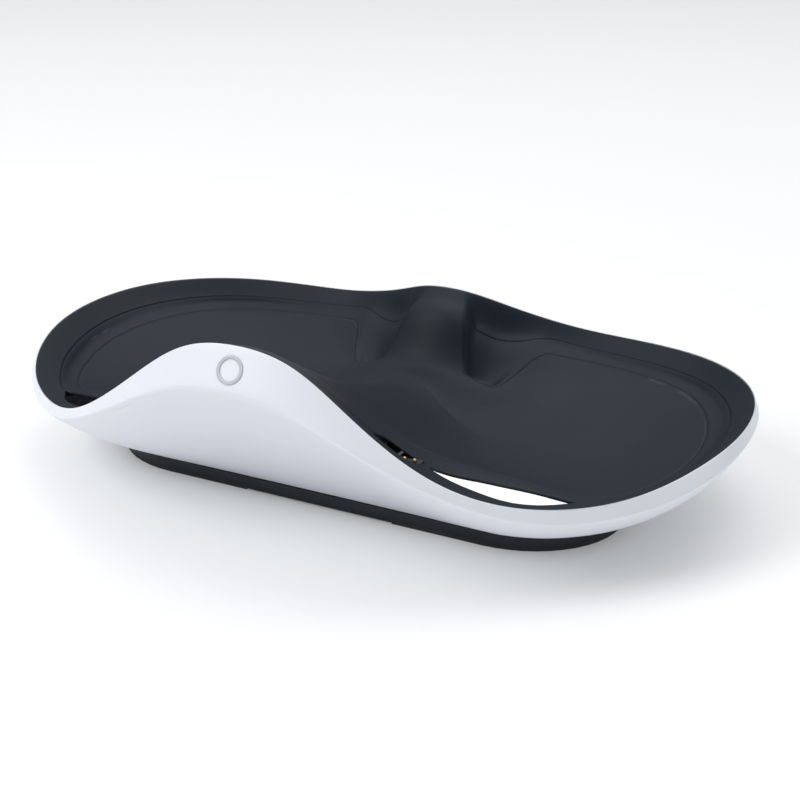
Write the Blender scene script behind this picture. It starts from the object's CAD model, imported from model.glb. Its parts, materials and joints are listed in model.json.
# Charging station for two ring-shaped hand controllers, built round the CAD frame, in metres.
import bpy
import bmesh
import json
import math
import numpy as np
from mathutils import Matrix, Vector


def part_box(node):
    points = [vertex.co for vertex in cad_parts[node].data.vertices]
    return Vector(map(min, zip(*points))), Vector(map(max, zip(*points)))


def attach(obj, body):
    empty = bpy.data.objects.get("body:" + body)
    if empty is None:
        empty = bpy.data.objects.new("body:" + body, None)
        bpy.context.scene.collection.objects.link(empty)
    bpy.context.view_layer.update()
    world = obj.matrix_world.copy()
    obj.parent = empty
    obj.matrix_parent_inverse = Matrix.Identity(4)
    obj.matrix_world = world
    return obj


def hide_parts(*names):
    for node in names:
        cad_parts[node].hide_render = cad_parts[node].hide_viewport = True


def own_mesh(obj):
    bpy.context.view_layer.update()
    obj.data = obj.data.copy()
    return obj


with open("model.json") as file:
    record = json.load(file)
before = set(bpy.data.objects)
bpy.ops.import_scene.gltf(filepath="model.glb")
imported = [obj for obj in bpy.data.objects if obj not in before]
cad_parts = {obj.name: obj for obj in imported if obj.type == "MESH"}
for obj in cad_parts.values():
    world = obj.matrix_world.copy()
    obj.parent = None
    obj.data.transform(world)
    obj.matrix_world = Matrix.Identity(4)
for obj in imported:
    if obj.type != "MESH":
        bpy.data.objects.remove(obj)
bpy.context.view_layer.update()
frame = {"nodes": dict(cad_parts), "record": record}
mm = 0.001

# the camera stands to the right of the front and looks down on the bowls
view = {"place": (0.2420, -0.4321, 0.2286), "tilt": 67.826, "turn": 27.771, "lens": 70.0}


def placeCamera():
    lens = bpy.data.cameras.new("stationCamera")
    lens.lens = view["lens"]
    lens.clip_start = 0.01
    camera = bpy.data.objects.new("stationCamera", lens)
    camera.location = view["place"]
    camera.rotation_euler = (math.radians(view["tilt"]), 0, math.radians(view["turn"]))
    bpy.context.scene.collection.objects.link(camera)
    bpy.context.scene.camera = camera


placeCamera()
print("camera is up")

# guide curves in millimetres, from the middle of the front, round the right end, to the middle of the back
guide = {
    "rim": [(0, -76, 71.2), (20, -76, 68), (40, -75.3, 54), (62, -71.2, 39), (85, -59.4, 30.4),
            (109, -41, 30.3), (124, -16.4, 34.7), (129.6, 14, 37), (122.4, 46, 37.5), (101, 69, 36.5),
            (75, 77, 36), (50, 79.8, 35.8), (28, 75.4, 40.5), (12, 67.6, 47), (0, 65.4, 48.7)],
    "crease": [(0, -83, 58.3), (20, -82.3, 56), (40, -80.8, 47.2), (61, -73, 36), (86, -60, 26),
               (110, -41.5, 25.5), (127, -17.5, 30.5), (131, 14, 33), (124, 47, 32.5), (103, 71, 31),
               (76, 80.5, 30), (50, 83, 30), (28, 80, 34), (12, 73, 40), (0, 71, 42)],
    "hem": [(0, -31.5), (14, -31.5), (30, -31.5), (46, -31.5), (64, -31), (82, -25), (93, -12), (96, 2),
            (92, 15), (80, 26), (62, 31), (42, 31.5), (24, 31.5), (11, 31.5), (0, 31.5)],
    "bulge": [0, 0, 0, 1.5, 4, 4.5, 7, 9.5, 9, 7, 5, 4, 3, 2, 2],
    "wall": [(0, -66, 67.5), (18, -64, 61.5), (38, -59, 43), (61, -52, 30.3), (82, -51, 29),
             (102, -37, 27), (116, -14, 28.8), (122, 14, 30.8), (116, 42, 31.2), (99, 63, 30.7),
             (74.5, 72.3, 30.3), (49, 75, 30.8), (28, 70, 35.5), (12, 62.5, 44), (0, 61, 46)],
    "seam": [(0, -48, 57.5), (15, -46, 50.5), (36, -40, 35), (57, -38, 29.6), (79, -38, 28.6),
             (97, -32, 24.6), (110, -12, 24.4), (115.3, 13, 26.3), (110, 37, 27.2), (97, 57, 27.2),
             (74, 67.5, 27), (48, 68.5, 28), (28, 62, 31), (12.3, 54, 39), (0, 53, 42)],
    "floor": [(0, -12, 38), (10, -14, 35.5), (28, -15, 27.5), (47, -16, 21), (66, -16, 19),
              (80, -12, 18.3), (88, -3, 18.3), (91, 8, 18.5), (87, 22, 18.8), (77, 35, 19.4),
              (61, 43, 19.6), (43, 46, 20.2), (27, 45, 20.4), (13.5, 45, 25.5), (0, 43, 27)],
    "spine": [(0, 30), (9, 27), (20, 20), (33, 13), (46, 9), (57, 8), (64, 8), (67, 8)],
    "spineLow": 16.5, "spineRise": 9.5, "spineReach": 26,
}
half = 14        # guide points on one side, less one
whole = 2 * half


def closedLoop(points):
    # control points of a smooth loop through the guide points and their mirror images
    right = np.array(points, float) * mm
    left = (right[1:-1] * (-1, 1, 1))[::-1]
    p = np.vstack([right, left])
    return (8 * p - np.roll(p, 1, 0) - np.roll(p, -1, 0)) / 6


def along(loop, t):
    t = np.asarray(t, float) % whole
    i = np.floor(t).astype(int)
    f = (t - i)[:, None]
    g = 1 - f
    a, b, c, d = (loop[(i + k) % whole] for k in (-1, 0, 1, 2))
    return (g ** 3 * a + (3 * f ** 3 - 6 * f ** 2 + 4) * b
            + (-3 * f ** 3 + 3 * f ** 2 + 3 * f + 1) * c + f ** 3 * d) / 6


def smooth(a, b, x):
    u = np.clip((x - a) / (b - a), 0, 1)
    return u * u * (3 - 2 * u)


def fromFront(t):
    # 0 at the middle of the front, 14 at the middle of the back, on either side
    t = np.asarray(t, float) % whole
    return np.minimum(t, whole - t)


def unit(v):
    return v / np.maximum(1e-9, np.linalg.norm(v, axis=-1, keepdims=True))


hemHeight = float(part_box("outer_shell")[0][2]) / mm
spinePoints = []
for i in range(half + 1):
    x, y = guide["spine"][min(i, half - i)]
    rise = guide["spineRise"] * math.exp(-(x / guide["spineReach"]) ** 2)
    spinePoints.append((x, y, guide["spineLow"] + rise))
rimLoop = closedLoop(guide["rim"])
creaseLoop = closedLoop(guide["crease"])
hemLoop = closedLoop([(x, y, hemHeight) for x, y in guide["hem"]])
wallLoop = closedLoop(guide["wall"])
seamLoop = closedLoop(guide["seam"])
floorLoop = closedLoop(guide["floor"])
spineLoop = closedLoop(spinePoints)
leadLoop = 2 * spineLoop - floorLoop
leadLoop[:, 2] = floorLoop[:, 2]
dishLoops = [leadLoop, spineLoop, floorLoop, seamLoop, wallLoop, rimLoop, 2 * rimLoop - wallLoop]


def dish(t, s):
    # inside of the bowls: s is 0 on the spine, 1 on the floor, 2 at the seam, 3 on the wall, 4 at the rim
    t = np.asarray(t, float)
    s = np.broadcast_to(np.asarray(s, float), t.shape)
    rows = np.stack([along(loop, t) for loop in dishLoops])
    k = np.clip(np.floor(s).astype(int), 0, 3)
    f = (s - k)[:, None]
    a, b, c, d = (rows[k + j, np.arange(len(t))] for j in range(4))
    return 0.5 * (2 * b + (c - a) * f + (2 * a - 5 * b + 4 * c - d) * f ** 2
                  + (3 * b - a - 3 * c + d) * f ** 3)


def skin(t, v):
    # outside of the shell: v is 0 at the rim, 1 at the crease and 2 at the hem
    rim, crease, hem = along(rimLoop, t), along(creaseLoop, t), along(hemLoop, t)
    if v <= 1:
        return rim + (crease - rim) * v
    fat = 0.7 * mm * np.interp(fromFront(t), np.arange(half + 1), guide["bulge"])[:, None]
    away = crease - hem
    away[:, 2] = 0
    away = unit(away)
    away[:, 2] = -1
    mid = (crease + hem) / 2 + fat * away
    w = v - 1
    return (1 - w) ** 2 * crease + 2 * w * (1 - w) * mid + w * w * hem


def skinNormal(t, v):
    low = max(v - 0.02, 1.001 if v > 1 else 0)
    high = min(v + 0.02, 1 if v <= 1 else 2)
    a = skin(t + 0.02, v) - skin(t - 0.02, v)
    b = skin(t, high) - skin(t, low)
    return unit(np.cross(b, a))


def roundOver(start, corner, end, steps):
    # rows of a rounded edge, without its first row
    return [(1 - u) ** 2 * start + 2 * u * (1 - u) * corner + u * u * end
            for u in (k / steps for k in range(1, steps + 1))]


def loftedPiece(name, rows, bands, closed=True):
    # rows are rings of points; a band (i, j, mask) joins two of them with faces, where the mask allows it
    n = len(rows[0])
    points = np.vstack(rows)
    mesh = bpy.data.meshes.new(name)
    faces = []
    for i, j, mask in bands:
        for a in range(n if closed else n - 1):
            b = (a + 1) % n
            if mask is None or mask[a]:
                faces.append((i * n + a, i * n + b, j * n + b, j * n + a))
    mesh.from_pydata(points.tolist(), [], faces)
    work = bmesh.new()
    work.from_mesh(mesh)
    bmesh.ops.remove_doubles(work, verts=work.verts, dist=1e-6)
    bmesh.ops.dissolve_degenerate(work, edges=work.edges, dist=1e-7)
    loose = [v for v in work.verts if not v.link_faces]
    bmesh.ops.delete(work, geom=loose, context="VERTS")
    bmesh.ops.recalc_face_normals(work, faces=work.faces)
    for face in work.faces:
        face.smooth = True
    work.to_mesh(mesh)
    work.free()
    piece = bpy.data.objects.new(name, mesh)
    bpy.context.scene.collection.objects.link(piece)
    return piece


def chain(first, last):
    return [(i, i + 1, None) for i in range(first, last)]


def closeEnds(piece, sharpAngle=None):
    # fills the open ends of a piece, and keeps edges over an angle sharp
    work = bmesh.new()
    work.from_mesh(piece.data)
    bmesh.ops.holes_fill(work, edges=[e for e in work.edges if len(e.link_faces) == 1])
    bmesh.ops.recalc_face_normals(work, faces=work.faces)
    if sharpAngle is not None:
        for e in work.edges:
            e.smooth = len(e.link_faces) != 2 or e.calc_face_angle(0) < sharpAngle
    work.to_mesh(piece.data)
    work.free()


def mouldedFinish(name, look):
    # colour, roughness, grain (scale, height), drift (scale, share), worn (colour, share)
    mat = bpy.data.materials.new(name)
    mat.use_nodes = True
    mat.diffuse_color = (*look["colour"], 1)
    nodes, links = mat.node_tree.nodes, mat.node_tree.links
    shader = nodes["Principled BSDF"]
    shader.inputs["Metallic"].default_value = look.get("metal", 0)
    shader.inputs["Specular IOR Level"].default_value = look.get("shine", 0.5)
    shader.inputs["Coat Weight"].default_value = look.get("coat", 0)
    shader.inputs["Coat Roughness"].default_value = look.get("coatRoughness", 0.2)
    shader.inputs["Sheen Weight"].default_value = look.get("sheen", 0)
    shader.inputs["Sheen Roughness"].default_value = 0.5
    place = nodes.new("ShaderNodeTexCoord")

    drift = nodes.new("ShaderNodeTexNoise")
    drift.inputs["Scale"].default_value = look["drift"][0]
    drift.inputs["Detail"].default_value = 4
    links.new(place.outputs["Object"], drift.inputs["Vector"])
    tone = nodes.new("ShaderNodeMapRange")
    tone.inputs["From Min"].default_value = 0.3
    tone.inputs["From Max"].default_value = 0.7
    tone.inputs["To Min"].default_value = 1 - look["drift"][1]
    tone.inputs["To Max"].default_value = 1 + look["drift"][1]
    links.new(drift.outputs["Fac"], tone.inputs["Value"])
    tint = nodes.new("ShaderNodeMix")
    tint.data_type = "RGBA"
    tint.blend_type = "MULTIPLY"
    tint.inputs["Factor"].default_value = 1
    tint.inputs[6].default_value = (*look["colour"], 1)
    links.new(tone.outputs["Result"], tint.inputs[7])

    # rubbed edges are a little lighter or darker
    geometry = nodes.new("ShaderNodeNewGeometry")
    edge = nodes.new("ShaderNodeMapRange")
    edge.inputs["From Min"].default_value = 0.53
    edge.inputs["From Max"].default_value = 0.62
    edge.inputs["To Max"].default_value = look["worn"][1]
    links.new(geometry.outputs["Pointiness"], edge.inputs["Value"])
    wear = nodes.new("ShaderNodeMix")
    wear.data_type = "RGBA"
    wear.inputs[7].default_value = (*look["worn"][0], 1)
    links.new(edge.outputs["Result"], wear.inputs["Factor"])
    links.new(tint.outputs[2], wear.inputs[6])
    links.new(wear.outputs[2], shader.inputs["Base Color"])

    patch = nodes.new("ShaderNodeTexNoise")
    patch.inputs["Scale"].default_value = look["drift"][0] * 4
    patch.inputs["Detail"].default_value = 6
    links.new(place.outputs["Object"], patch.inputs["Vector"])
    gloss = nodes.new("ShaderNodeMapRange")
    gloss.inputs["To Min"].default_value = look["roughness"] - 0.05
    gloss.inputs["To Max"].default_value = look["roughness"] + 0.05
    links.new(patch.outputs["Fac"], gloss.inputs["Value"])
    links.new(gloss.outputs["Result"], shader.inputs["Roughness"])

    grain = nodes.new("ShaderNodeTexNoise")
    grain.inputs["Scale"].default_value = look["grain"][0]
    grain.inputs["Detail"].default_value = 3
    grain.inputs["Roughness"].default_value = 0.6
    if "brushed" in look:      # long fine lines along one axis
        stretch = nodes.new("ShaderNodeMapping")
        stretch.inputs["Scale"].default_value = look["brushed"]
        links.new(place.outputs["Object"], stretch.inputs["Vector"])
        links.new(stretch.outputs["Vector"], grain.inputs["Vector"])
    else:
        links.new(place.outputs["Object"], grain.inputs["Vector"])
    bump = nodes.new("ShaderNodeBump")
    bump.inputs["Strength"].default_value = look.get("bump", 0.25)
    bump.inputs["Distance"].default_value = look["grain"][1]
    links.new(grain.outputs["Fac"], bump.inputs["Height"])
    links.new(bump.outputs["Normal"], shader.inputs["Normal"])
    return mat


finishes = {
    "shell_white": {"colour": (0.80, 0.83, 0.89), "roughness": 0.42, "grain": (2600, 0.00003),
                    "drift": (9, 0.012), "worn": ((0.86, 0.88, 0.92), 0.25), "coat": 0.06},
    "liner_dark": {"colour": (0.0105, 0.0165, 0.0245), "roughness": 0.55, "shine": 0.22,
                   "grain": (3200, 0.00005), "drift": (14, 0.05),
                   "worn": ((0.06, 0.07, 0.085), 0.35), "bump": 0.3},
    "base_black": {"colour": (0.009, 0.013, 0.019), "roughness": 0.5, "shine": 0.3, "grain": (2400, 0.00006),
                   "drift": (20, 0.06), "worn": ((0.05, 0.055, 0.065), 0.3)},
    "foot_rubber": {"colour": (0.012, 0.013, 0.015), "roughness": 0.78, "grain": (1500, 0.0001),
                    "drift": (30, 0.1), "worn": ((0.04, 0.04, 0.04), 0.3), "bump": 0.4},
    "badge_grey": {"colour": (0.50, 0.52, 0.57), "roughness": 0.4, "grain": (4000, 0.00002),
                   "drift": (80, 0.03), "worn": ((0.62, 0.64, 0.68), 0.3)},
    "screw_steel": {"colour": (0.42, 0.43, 0.45), "roughness": 0.32, "metal": 1, "grain": (900, 0.00003),
                    "drift": (90, 0.08), "worn": ((0.7, 0.7, 0.72), 0.5), "brushed": (1, 1, 9)},
    "bar_steel": {"colour": (0.36, 0.37, 0.39), "roughness": 0.45, "metal": 1, "grain": (500, 0.00005),
                  "drift": (60, 0.1), "worn": ((0.6, 0.6, 0.62), 0.4), "brushed": (0.1, 3, 3)},
    "board_green": {"colour": (0.012, 0.10, 0.045), "roughness": 0.38, "grain": (700, 0.00004),
                    "drift": (120, 0.12), "worn": ((0.25, 0.22, 0.12), 0.3)},
    "chip_black": {"colour": (0.018, 0.018, 0.02), "roughness": 0.6, "grain": (3000, 0.00004),
                   "drift": (100, 0.08), "worn": ((0.07, 0.07, 0.07), 0.3)},
    "can_aluminium": {"colour": (0.62, 0.63, 0.65), "roughness": 0.3, "metal": 1, "grain": (600, 0.00003),
                      "drift": (90, 0.05), "worn": ((0.8, 0.8, 0.8), 0.4), "brushed": (2, 2, 0.2)},
    "socket_cream": {"colour": (0.66, 0.61, 0.48), "roughness": 0.5, "grain": (2000, 0.00004),
                     "drift": (100, 0.04), "worn": ((0.75, 0.72, 0.6), 0.3)},
    "contact_gold": {"colour": (0.55, 0.38, 0.15), "roughness": 0.3, "metal": 1, "grain": (1500, 0.00002),
                     "drift": (200, 0.06), "worn": ((0.9, 0.75, 0.45), 0.5)},
    "harness_grey": {"colour": (0.03, 0.03, 0.034), "roughness": 0.62, "grain": (2500, 0.00006),
                     "drift": (100, 0.08), "worn": ((0.08, 0.08, 0.085), 0.3)},
}
mats = {name: mouldedFinish(name, look) for name, look in finishes.items()}
print("finishes are mixed")


def dress(piece, slotName, body, *nodes):
    piece.data.materials.clear()
    piece.data.materials.append(mats[slotName])
    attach(piece, body)
    if nodes:
        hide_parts(*nodes)
    return piece


shellLook = {"wall": 2.4, "lipRound": 0.4, "creaseAbove": 0.10, "creaseBelow": 0.05,
             "seamGap": 0.12, "stepsPerGuide": 16, "lipDepth": 2.2, "lipEase": 0.3, "lipFlat": 0.2,
             "hemRound": 0.3, "hemWall": 1.4, "inletGap": 0.3, "inletRun": 6, "cutLength": 30,
             "cutSides": 96}
linerEnd = 3.955
linerStrip = 0.08        # the liner still rings the rim where the tongue meets it
steps = np.arange(0, whole, 1 / shellLook["stepsPerGuide"])


def makeOuterShell():
    t = steps
    rim = skin(t, 0)
    inward = unit(dish(t, linerEnd) - rim)
    lipEnd = dish(t, linerEnd) - inward * shellLook["seamGap"] * mm
    r = shellLook["lipRound"] * mm
    down = unit(skin(t, 0.2) - rim)
    rows = [lipEnd - (0, 0, shellLook[k] * mm) for k in ("lipDepth", "lipEase")]
    rows += roundOver(rows[-1], lipEnd, lipEnd - inward * shellLook["lipFlat"] * mm, 3)
    rows.append(rim + inward * r)
    rows += roundOver(rows[-1], rim, rim + down * r, 5)
    above, below = shellLook["creaseAbove"], shellLook["creaseBelow"]
    rows += [skin(t, v) for v in np.linspace(0.12, 1 - above, 9)]
    rows += roundOver(rows[-1], skin(t, 1), skin(t, 1 + below), 8)
    rows += [skin(t, v) for v in np.linspace(1 + below + 0.03, 1.985, 22)]
    hem = skin(t, 2)
    flat = skinNormal(t, 1.98)
    flat[:, 2] = 0
    flat = unit(flat)
    rows += roundOver(rows[-1], hem, hem - flat * shellLook["hemRound"] * mm, 3)
    rows.append(hem - flat * shellLook["hemWall"] * shellLook["wall"] * mm)
    for v in (1.9, 1.75, 1.55, 1.35, 1.15, 1, 0.6):
        rows.append(skin(t, v) - skinNormal(t, v) * shellLook["wall"] * mm)
    bands = chain(0, len(rows) - 1) + [(len(rows) - 1, 0, None)]
    piece = loftedPiece("outerShell", rows, bands)

    # round opening for the power inlet
    low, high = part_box("inlet_housing")
    gap = shellLook["inletGap"] * mm
    radius = (high[0] - low[0]) / 2 + gap
    place = (0, high[1] + shellLook["inletRun"] * mm, high[2] - radius + gap)
    bpy.ops.mesh.primitive_cylinder_add(vertices=shellLook["cutSides"], radius=radius,
                                        depth=shellLook["cutLength"] * mm, location=place,
                                        rotation=(math.pi / 2, 0, 0))
    cutter = bpy.context.object
    cut = piece.modifiers.new("inlet", "BOOLEAN")
    cut.object = cutter
    cut.operation = "DIFFERENCE"
    cut.solver = "EXACT"
    applyAll(piece)
    bpy.data.objects.remove(cutter)
    return dress(piece, "shell_white", "station", "outer_shell")


def applyAll(piece):
    graph = bpy.context.evaluated_depsgraph_get()
    mesh = bpy.data.meshes.new_from_object(piece.evaluated_get(graph))
    piece.modifiers.clear()
    piece.data = mesh


makeOuterShell()
print("outer shell is lofted")

seamLook = {"pocketOut": (11.3, 11.95), "pocketIn": (12.75, 13.55), "round": 0.45, "gap": 0.34,
            "softFrom": (4.75, 5.1), "softTo": (5.7, 6.1), "thick": 2.2}
pocketLook = {"depth": 5, "wall": 5, "across": (11.5, 12.5), "rise": (2.9, 3.9)}
slotLook = {
    "x": [51.5, 54.6, 58.1, 61.4, 65, 68.7, 72.7, 76.5, 80.2, 83.8, 87.3, 90.7, 95.2],
    "back": [-51.6, -49.4, -47.7, -46.4, -45.5, -45.1, -44.9, -44.6, -44.2, -43.6, -42.8, -42, -41.6],
    "front": [-51.6, -52.5, -52.8, -52.8, -52.8, -53.1, -53.8, -54.3, -54.2, -53, -50.8, -47.5, -41.6],
    "backRound": 0.8, "frontRound": 0.5, "nose": 4.6}
windowLook = {"middle": (43, -56), "half": (6.6, 5), "power": 4, "round": 0.7}


def seamS(t):
    u = fromFront(t)
    (a, b), (c, d) = seamLook["pocketOut"], seamLook["pocketIn"]
    s = 2 - smooth(a, b, u) + 3 * smooth(c, d, u)
    return np.minimum(s, linerEnd - linerStrip)


def seamLine(t):
    # the seam between floor and liner, and the way across it towards the liner
    s = seamS(t)
    line = dish(t, s)
    run = dish(t + 0.01, seamS(t + 0.01)) - dish(t - 0.01, seamS(t - 0.01))
    normal = np.cross(dish(t + 0.01, s) - dish(t - 0.01, s), dish(t, s + 0.01) - dish(t, s - 0.01))
    across = unit(np.cross(normal, run))
    flip = np.sign((across * (dish(t, s + 0.01) - dish(t, s - 0.01))).sum(1))
    return line, across * flip[:, None]


def seamEdge(t):
    # radius of the rounded seam edges, which fade out round the ends of the bowls
    u = fromFront(t)
    (a, b), (c, d) = seamLook["softFrom"], seamLook["softTo"]
    soft = smooth(a, b, u) * (1 - smooth(c, d, u))
    return seamLook["round"] * mm * (1 - 0.95 * soft)


def keepClear(points, line, across, least):
    # moves points away from the seam where they are nearer to it than they should be
    reach = ((points - line) * across).sum(1)
    return points + across * np.maximum(0, least - reach)[:, None]


pocketT = np.arange(11.3, 13.6, 0.04)
pocketSeam = dish(pocketT, seamS(pocketT))


def scoop(t, s):
    # the finger pockets drop away from the seam and fade towards the ends and the rim
    across = smooth(*pocketLook["across"], fromFront(t))
    p = dish(t, s)
    p[:, 0] = np.abs(p[:, 0])
    away = np.linalg.norm(p[:, None] - pocketSeam[None], axis=2).min(1) / mm
    depth = pocketLook["depth"] * mm * across * smooth(0, pocketLook["wall"], away)
    return depth * (1 - smooth(*pocketLook["rise"], s))


def linerTop(t, s):
    p = dish(t, s)
    p[:, 2] -= scoop(t, s)
    return p


def perS(t, s, surface):
    # metres of surface for one unit of s
    s = np.broadcast_to(s, t.shape)
    return np.linalg.norm(surface(t, s + 0.01) - surface(t, s - 0.01), axis=1) / 0.02


def inSlot(p):
    x, y = np.abs(p[:, 0]) / mm, p[:, 1] / mm
    back, front = (np.interp(x, slotLook["x"], slotLook[k]) for k in ("back", "front"))
    return (y < back) & (y > front) & (x > slotLook["x"][0]) & (x < slotLook["x"][-1])


def inWindow(p):
    x, y = np.abs(p[:, 0]) / mm, p[:, 1] / mm
    (cx, cy), (hx, hy) = windowLook["middle"], windowLook["half"]
    return np.abs((x - cx) / hx) ** windowLook["power"] + np.abs((y - cy) / hy) ** windowLook["power"] < 1


def openSpan(t, inside):
    # the lowest and highest s inside an opening on one section, or None
    s = np.linspace(2.0, linerEnd, 900)
    flags = inside(linerTop(np.full(len(s), t), s))
    if not flags.any():
        return None
    k = np.flatnonzero(flags)
    ends = []
    for a, b in ((max(0, k[0] - 1), k[0]), (min(len(s) - 1, k[-1] + 1), k[-1])):
        out, into = s[a], s[b]
        for _ in range(18):
            mid = (out + into) / 2
            if inside(linerTop(np.array([t]), np.array([mid])))[0]:
                into = mid
            else:
                out = mid
        ends.append((out + into) / 2)
    return ends


def openingTips(start, stop, inside):
    # where along the liner an opening begins and ends, and its s there
    tips = []
    middle = (start + stop) / 2
    for outer in (start, stop):
        out, into = outer, middle
        for _ in range(22):
            mid = (out + into) / 2
            if openSpan(mid, inside) is None:
                out = mid
            else:
                into = mid
        tips.append((into, sum(openSpan(into, inside)) / 2))
    return tips


windowTips = openingTips(1.2, 2.9, inWindow)
slotTips = openingTips(2.3, 5.4, inSlot)
print("openings run", [round(a, 3) for a, b in windowTips + slotTips])


def linerSections():
    near = (0, 0.006, 0.014, 0.026)
    extra = []
    for (a, _), (b, _) in (windowTips, slotTips):
        extra += [a + d for d in near] + [b - d for d in near]
    right = np.unique(np.concatenate([np.arange(0, half + 1e-6, 1 / 16), extra]))
    keep = np.concatenate([[True], np.diff(right) > 0.004])
    for tip, _ in windowTips + slotTips:      # a tip stays, its crowding neighbour goes
        at = np.argmin(np.abs(right - tip))
        keep[at] = True
        keep[np.flatnonzero((np.abs(right - tip) < 0.005) & (right != right[at]))] = False
    right = right[keep]
    return np.concatenate([right, whole - right[1:-1][::-1]])


def makeRimLiner():
    t = linerSections()
    u = fromFront(t)
    low = np.minimum(seamS(t) + 0.02, linerEnd - 0.1)
    keysU = [0] + [a for a, _ in windowTips + slotTips] + [5.8, half]
    keysQ = [0.45] + [(s - 2.02) / (linerEnd - 2.02) for _, s in windowTips + slotTips] + [0.5, 0.5]
    mid = low + np.interp(u, keysU, keysQ) * (linerEnd - low)
    back, front = mid.copy(), mid.copy()
    isOpen = np.zeros(len(t), bool)
    backRound, frontRound = np.zeros(len(t)), np.zeros(len(t))
    for tips, inside, look in ((windowTips, inWindow, (windowLook["round"], windowLook["round"])),
                               (slotTips, inSlot, (slotLook["backRound"], slotLook["frontRound"]))):
        for i in np.flatnonzero((u > tips[0][0] + 1e-6) & (u < tips[1][0] - 1e-6)):
            span = openSpan(u[i], inside)
            if span is None:
                continue
            back[i], front[i] = span
            isOpen[i] = True
            backRound[i], frontRound[i] = look[0] * mm, look[1] * mm
    gap = np.linalg.norm(linerTop(t, front) - linerTop(t, back), axis=1)
    backRound = np.minimum(backRound, 0.45 * gap)
    frontRound = np.minimum(frontRound, 0.45 * gap)
    thick = seamLook["thick"] * mm
    line, across = seamLine(t)
    rimEdge = linerTop(t, np.full(len(t), linerEnd))
    width = ((rimEdge - line) * across).sum(1)
    seamRound = np.minimum(seamEdge(t), 0.3 * width)
    margin = np.minimum(seamLook["gap"] / 2 * mm, 0.1 * width)
    edgeA = back - backRound / perS(t, back, linerTop)
    edgeB = front + frontRound / perS(t, front, linerTop)
    highEnd = linerEnd - 0.25 * mm / perS(t, np.full(len(t), linerEnd), linerTop)

    def drop(p, depth):
        q = p.copy()
        q[:, 2] -= depth
        return q

    def surface(f):
        p = linerTop(t, low + f * (edgeA - low))
        return keepClear(p, line, across, np.minimum(margin + seamRound + f * mm, f * width))

    rows, bands = [], []
    # the seam edge, then the surface up to the openings
    corner = line + across * margin[:, None]
    start = line + across * (margin + seamRound)[:, None]
    rows.append(drop(corner, thick))
    rows.append(drop(corner, seamRound))
    rows += roundOver(rows[-1], corner, start, 4)
    rows += [surface(f) for f in np.linspace(0, 1, 19)[1:]]
    lastA = len(rows) - 1
    bands += chain(0, lastA)
    # back edge of the openings: a rounded nose, hollowed out below
    nose = linerTop(t, back)
    rows += roundOver(rows[lastA], nose, drop(nose, backRound), 6)
    wallA = len(rows) - 1
    ringOpen = np.array([isOpen[i] or isOpen[(i + 1) % len(t)] for i in range(len(t))])
    bands += [(i, i + 1, ringOpen) for i in range(lastA, wallA)]
    # underside of the first part
    under = np.minimum(slotLook["nose"] * mm / perS(t, back, linerTop), 0.6 * (back - low)) * isOpen
    for f in np.linspace(1, 0, 7)[:-1]:
        p = linerTop(t, low + f * (back - under - low))
        rows.append(drop(keepClear(p, line, across, np.minimum(margin + f * mm, f * width)), thick))
    bands.append((wallA, wallA + 1, None))
    bands += chain(wallA + 1, len(rows) - 1) + [(len(rows) - 1, 0, None)]
    # front edge of the openings and the surface up to the rim
    firstB = len(rows)
    lip = linerTop(t, front)
    rows.append(drop(lip, np.where(isOpen, 1.4 * mm, backRound)))
    rows.append(drop(lip, frontRound))
    rows += roundOver(rows[-1], lip, linerTop(t, edgeB), 5)
    topB = len(rows) - 1
    bands += [(i, i + 1, ringOpen) for i in range(firstB, topB)]
    rows += [linerTop(t, edgeB + f * (highEnd - edgeB)) for f in np.linspace(0, 1, 13)[1:]]
    rows += roundOver(rows[-1], rimEdge, drop(rimEdge, 0.25 * mm), 3)
    rows.append(drop(rimEdge, thick))
    bands += chain(topB, len(rows) - 1)
    lastB = len(rows) - 1
    rows += [drop(linerTop(t, front + f * (highEnd - front)), thick) for f in np.linspace(1, 0, 7)[1:-1]]
    bands += chain(lastB, len(rows) - 1)
    bands.append((len(rows) - 1, firstB, None))
    piece = loftedPiece("rimLiner", rows, bands)
    return dress(piece, "liner_dark", "station", "rim_liner")


def makeCradleFloor():
    t = steps
    line, across = seamLine(t)
    r = seamEdge(t)
    margin = seamLook["gap"] / 2 * mm
    thick = seamLook["thick"] * mm
    rows = []
    for f in np.linspace(0, 1, 36)[:-1]:
        least = np.minimum(margin + r + (1 - f) * 2 * mm, (1 - f) * 30 * mm)
        rows.append(keepClear(dish(t, f * seamS(t)), line, -across, least))
    rows.append(line - across * (margin + r)[:, None])
    corner = line - across * margin
    below = corner.copy()
    below[:, 2] -= r
    rows += roundOver(rows[-1], corner, below, 4)
    for f in (1, 0.9, 0.7, 0.5, 0.3, 0.15, 0):
        p = keepClear(dish(t, f * seamS(t)), line, -across, margin * min(1, (1 - f) * 20))
        p = corner.copy() if f == 1 else p
        p[:, 2] -= thick
        rows.append(p)
    piece = loftedPiece("cradleFloor", rows, chain(0, len(rows) - 1))
    return dress(piece, "liner_dark", "station", "cradle_floor")


rampLook = {"steps": 24, "rows": 12, "fall": (-0.5266, 1, -0.4606), "clear": 0.35, "start": 5.5,
            "thick": 0.8, "top": 5.2, "sharp": 0.6}


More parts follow.
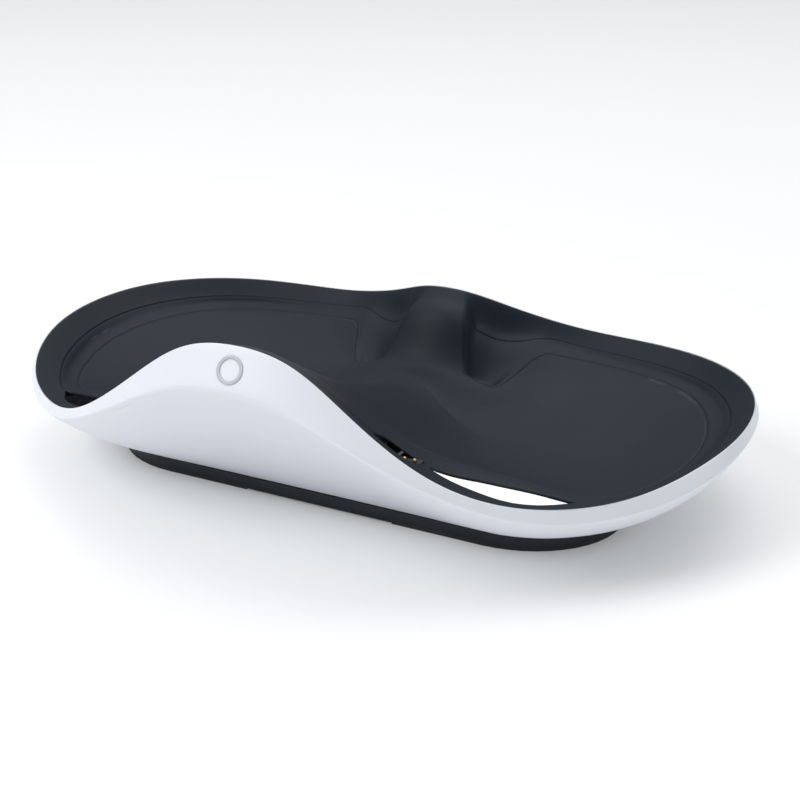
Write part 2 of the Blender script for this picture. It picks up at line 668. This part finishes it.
def makeRamp(side, node):
    # ceiling of the passage from a slot down to its window in the base plate
    x = np.linspace(slotLook["x"][0], slotLook["x"][-1], rampLook["steps"])
    y = np.interp(x, slotLook["x"], slotLook["back"])
    edge = np.array([surfaceUnder(a, b) for a, b in zip(x, y)])
    fall = np.array(rampLook["fall"])
    first = edge + fall * rampLook["start"] * mm
    last = edge + fall * ((edge[:, 2:] - rampLook["top"] * mm) / -fall[2])
    rows = [first + (last - first) * f for f in np.linspace(0, 1, rampLook["rows"])]
    points = [row * (side, 1, 1) for row in rows]
    points += [row * (side, 1, 1) + (0, 0, rampLook["thick"] * mm) for row in rows[::-1]]
    count = len(points)
    piece = loftedPiece("passage" + ("Right" if side > 0 else "Left"), points,
                        [(i, (i + 1) % count, None) for i in range(count)], closed=False)
    closeEnds(piece, rampLook["sharp"])
    return dress(piece, "base_black", "station", node)


surfaceT = np.repeat(np.arange(2.2, 5.4, 0.01), 120)
surfaceGrid = linerTop(surfaceT, np.tile(np.linspace(2, linerEnd, 120), len(surfaceT) // 120))


def surfaceUnder(x, y):
    # lower edge of the liner's nose at a place on the slot's back edge
    near = surfaceGrid[np.argmin(((surfaceGrid[:, :2] - (x * mm, y * mm)) ** 2).sum(1))]
    return np.array((x * mm, y * mm, near[2] - (slotLook["backRound"] - rampLook["clear"]) * mm))


makeRimLiner()
makeCradleFloor()
makeRamp(1, "passage_right")
makeRamp(-1, "passage_left")
print("liner and floor are lofted")


badgeLook = {"outer": 4.5, "ring": 1.2, "sink": 0.05, "proud": 0.28, "round": 0.12,
             "segments": 96, "perGuide": 20}


def makeBadge():
    # the ring follows the band, so every point is laid on the skin and lifted along its normal
    t0 = np.array([0.0])
    bandLength = np.linalg.norm(skin(t0, 1)[0] - skin(t0, 0)[0])
    count = badgeLook["segments"]
    outer, inner = badgeLook["outer"] * mm, (badgeLook["outer"] - badgeLook["ring"]) * mm
    r, low, high = badgeLook["round"] * mm, badgeLook["sink"] * mm, badgeLook["proud"] * mm
    profile = [(inner, low), (inner, high - r), (inner + r * 0.3, high - r * 0.3), (inner + r, high),
               ((inner + outer) / 2, high), (outer - r, high), (outer - r * 0.3, high - r * 0.3),
               (outer, high - r), (outer, low)]
    rows = []
    for radius, lift in profile:
        ring = []
        for k in range(count):
            a = 2 * math.pi * k / count
            x, y = radius * math.cos(a), radius * math.sin(a)
            tt = np.array([x / (badgeLook["perGuide"] * mm)])
            v = 0.5 - y / bandLength
            ring.append(skin(tt, v)[0] + skinNormal(tt, v)[0] * lift)
        rows.append(np.array(ring))
    piece = loftedPiece("frontRing", rows, chain(0, len(rows) - 1) + [(len(rows) - 1, 0, None)])
    return dress(piece, "badge_grey", "station", "front_badge")


makeBadge()

springLook = {"wire": 0.125, "turns": 6.5, "perTurn": 28, "sides": 8, "travel": 0.8}


def makeSpring(side, number):
    # a coil spring under a contact, which shortens as the contact goes down
    node = f"spring_{side}_{number}"
    low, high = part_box(node)
    wire = springLook["wire"] * mm
    middle = np.array(((low[0] + high[0]) / 2, (low[1] + high[1]) / 2, 0))
    radius = (high[0] - low[0]) / 2 - wire
    count = int(springLook["turns"] * springLook["perTurn"])
    f = np.linspace(0, 1, count)
    a = 2 * np.pi * springLook["turns"] * f
    out = np.stack([np.cos(a), np.sin(a), 0 * a], 1)
    up = np.array((0, 0, 1.0))
    path = middle + out * radius + up * (low[2] + wire + f * (high[2] - low[2] - 2 * wire))[:, None]
    turn = 2 * np.pi * np.arange(springLook["sides"]) / springLook["sides"]
    rings = [path + wire * (math.cos(b) * out + math.sin(b) * up) for b in turn]
    bands = [(k, (k + 1) % len(turn), None) for k in range(len(turn))]
    piece = loftedPiece("spring" + side.capitalize() + str(number), rings, bands, closed=False)
    closeEnds(piece)
    dress(piece, "screw_steel", "station", node)
    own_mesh(piece)


for side in ("left", "right"):
    for number in (1, 2, 3):
        makeSpring(side, number)
print("springs are coiled")

kept = {row["node"]: row["material_slot"] for row in frame["record"]["subparts"]}
replaced = {"outer_shell", "rim_liner", "cradle_floor", "front_badge", "passage_left", "passage_right"}
replaced |= {node for node in kept if node.startswith("spring_")}
for node, slotName in kept.items():
    if node in replaced:
        continue
    piece = frame["nodes"][node]
    if len(piece.material_slots) == 0:
        piece.data.materials.append(mats[slotName])
    for place in piece.material_slots:
        place.material = mats[slotName]
print("frame pieces are dressed")


studioLook = {
    "floor": 6, "floorColour": (0.8, 0.8, 0.8, 1), "glow": 0.14, "patchGlow": 1.1,
    "patchPlace": (0.0475, 0.0035, 0.0001), "patchSize": (0.074, 0.040, 1),
    "world": ((0.93, 0.96, 1, 1), 0.28), "aim": (0, 0, 0.03),
    "sky": {"energy": 1.25, "angle": 1.4, "turn": (-0.3, -0.1, 0)},
    "lamps": [("keyLight", (-0.8, -0.9, 1.1), 0.9, 13), ("topLight", (0.1, 0.5, 1.3), 1.0, 4),
              ("rightLight", (1.2, -0.4, 0.7), 0.7, 1)]}


def makeStudio():
    bpy.ops.mesh.primitive_grid_add(x_subdivisions=8, y_subdivisions=8, size=studioLook["floor"])
    ground = bpy.context.object
    ground.name = "studioFloor"
    mat = bpy.data.materials.new("paleFloor")
    mat.use_nodes = True
    shader = mat.node_tree.nodes["Principled BSDF"]
    shader.inputs["Base Color"].default_value = studioLook["floorColour"]
    shader.inputs["Roughness"].default_value = 0.9
    shader.inputs["Emission Color"].default_value = (1, 1, 1, 1)
    shader.inputs["Emission Strength"].default_value = studioLook["glow"]
    ground.data.materials.append(mat)
    # lit patches of floor under the base plate's windows, so that the floor shows white through the slots
    for side in (1, -1):
        x, y, z = studioLook["patchPlace"]
        bpy.ops.mesh.primitive_grid_add(x_subdivisions=4, y_subdivisions=4, size=1,
                                        location=(side * x, y, z))
        patch = bpy.context.object
        patch.scale = studioLook["patchSize"]
        patch.name = "studioFloorPatch" + str(side + 2)
        bright = mat.copy()
        shader = bright.node_tree.nodes["Principled BSDF"]
        shader.inputs["Emission Strength"].default_value = studioLook["patchGlow"]
        patch.data.materials.append(bright)
    scene = bpy.context.scene
    scene.view_settings.view_transform = "Standard"
    world = bpy.data.worlds.new("studioWorld")
    world.use_nodes = True
    background = world.node_tree.nodes["Background"]
    background.inputs["Color"].default_value = studioLook["world"][0]
    background.inputs["Strength"].default_value = studioLook["world"][1]
    scene.world = world
    sky = bpy.data.lights.new("skyLight", "SUN")
    sky.energy = studioLook["sky"]["energy"]
    sky.angle = studioLook["sky"]["angle"]
    skyObject = bpy.data.objects.new("skyLight", sky)
    skyObject.rotation_euler = studioLook["sky"]["turn"]
    scene.collection.objects.link(skyObject)
    for name, place, size, power in studioLook["lamps"]:
        lamp = bpy.data.lights.new(name, "AREA")
        lamp.size = size
        lamp.energy = power
        lampObject = bpy.data.objects.new(name, lamp)
        lampObject.location = place
        aim = Vector(studioLook["aim"]) - Vector(place)
        lampObject.rotation_euler = aim.to_track_quat("-Z", "Y").to_euler()
        scene.collection.objects.link(lampObject)


makeStudio()
print("studio is lit")
